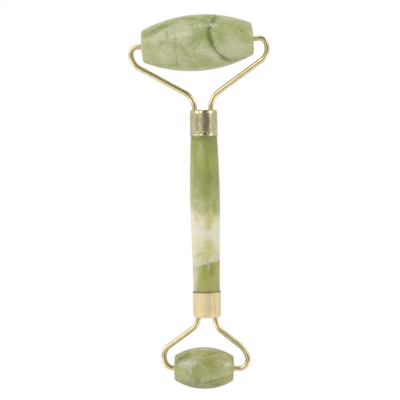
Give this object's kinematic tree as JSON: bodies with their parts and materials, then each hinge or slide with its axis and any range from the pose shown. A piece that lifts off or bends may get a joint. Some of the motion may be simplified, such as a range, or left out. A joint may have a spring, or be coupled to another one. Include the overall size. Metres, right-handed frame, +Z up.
{
  "type": "jade face roller",
  "caption": "Double-ended face roller: a turned green stone handle with a bent-wire yoke at each end, each holding a free-turning barrel-shaped stone, one long and one short.",
  "frame": {"origin": "on the surface that the roller lies on, under the middle of its box; both stones touch Z = 0", "axes": "+Z up; +Y along the handle from the small roller to the large one; +X across, along the rollers' axles"},
  "size_m": [0.0544, 0.145, 0.0218],
  "materials": {
    "jade_handle": "polished mottled green jade with pale bands",
    "jade_roller": "polished pale celadon jade with darker veins",
    "ferrule_brass": "satin drawn brass",
    "wire_brass": "polished brass wire",
    "nylon": "natural nylon",
    "epoxy": "set clear epoxy"
  },
  "bodies": {
    "handle": {"handle_rod": "jade_handle", "large_ferrule": "ferrule_brass", "small_ferrule": "ferrule_brass", "large_yoke_wire": "wire_brass", "small_yoke_wire": "wire_brass", "large_epoxy_plug": "epoxy", "small_epoxy_plug": "epoxy"},
    "large_roller": {"large_roller_stone": "jade_roller", "large_bush_left": "nylon", "large_bush_right": "nylon"},
    "small_roller": {"small_roller_stone": "jade_roller", "small_bush_left": "nylon", "small_bush_right": "nylon"}
  },
  "joints": [
    {"name": "large_roller_spin", "type": "hinge", "parent": "handle", "child": "large_roller", "pos_m": [-0.00057, 0.06153, 0.0109], "axis": [0.9984, 0.0558, 0.0012], "continuous": true},
    {"name": "small_roller_spin", "type": "hinge", "parent": "handle", "child": "small_roller", "pos_m": [-0.0003, -0.06437, 0.00812], "axis": [0.9996, -0.0279, -0.0006], "continuous": true}
  ]
}
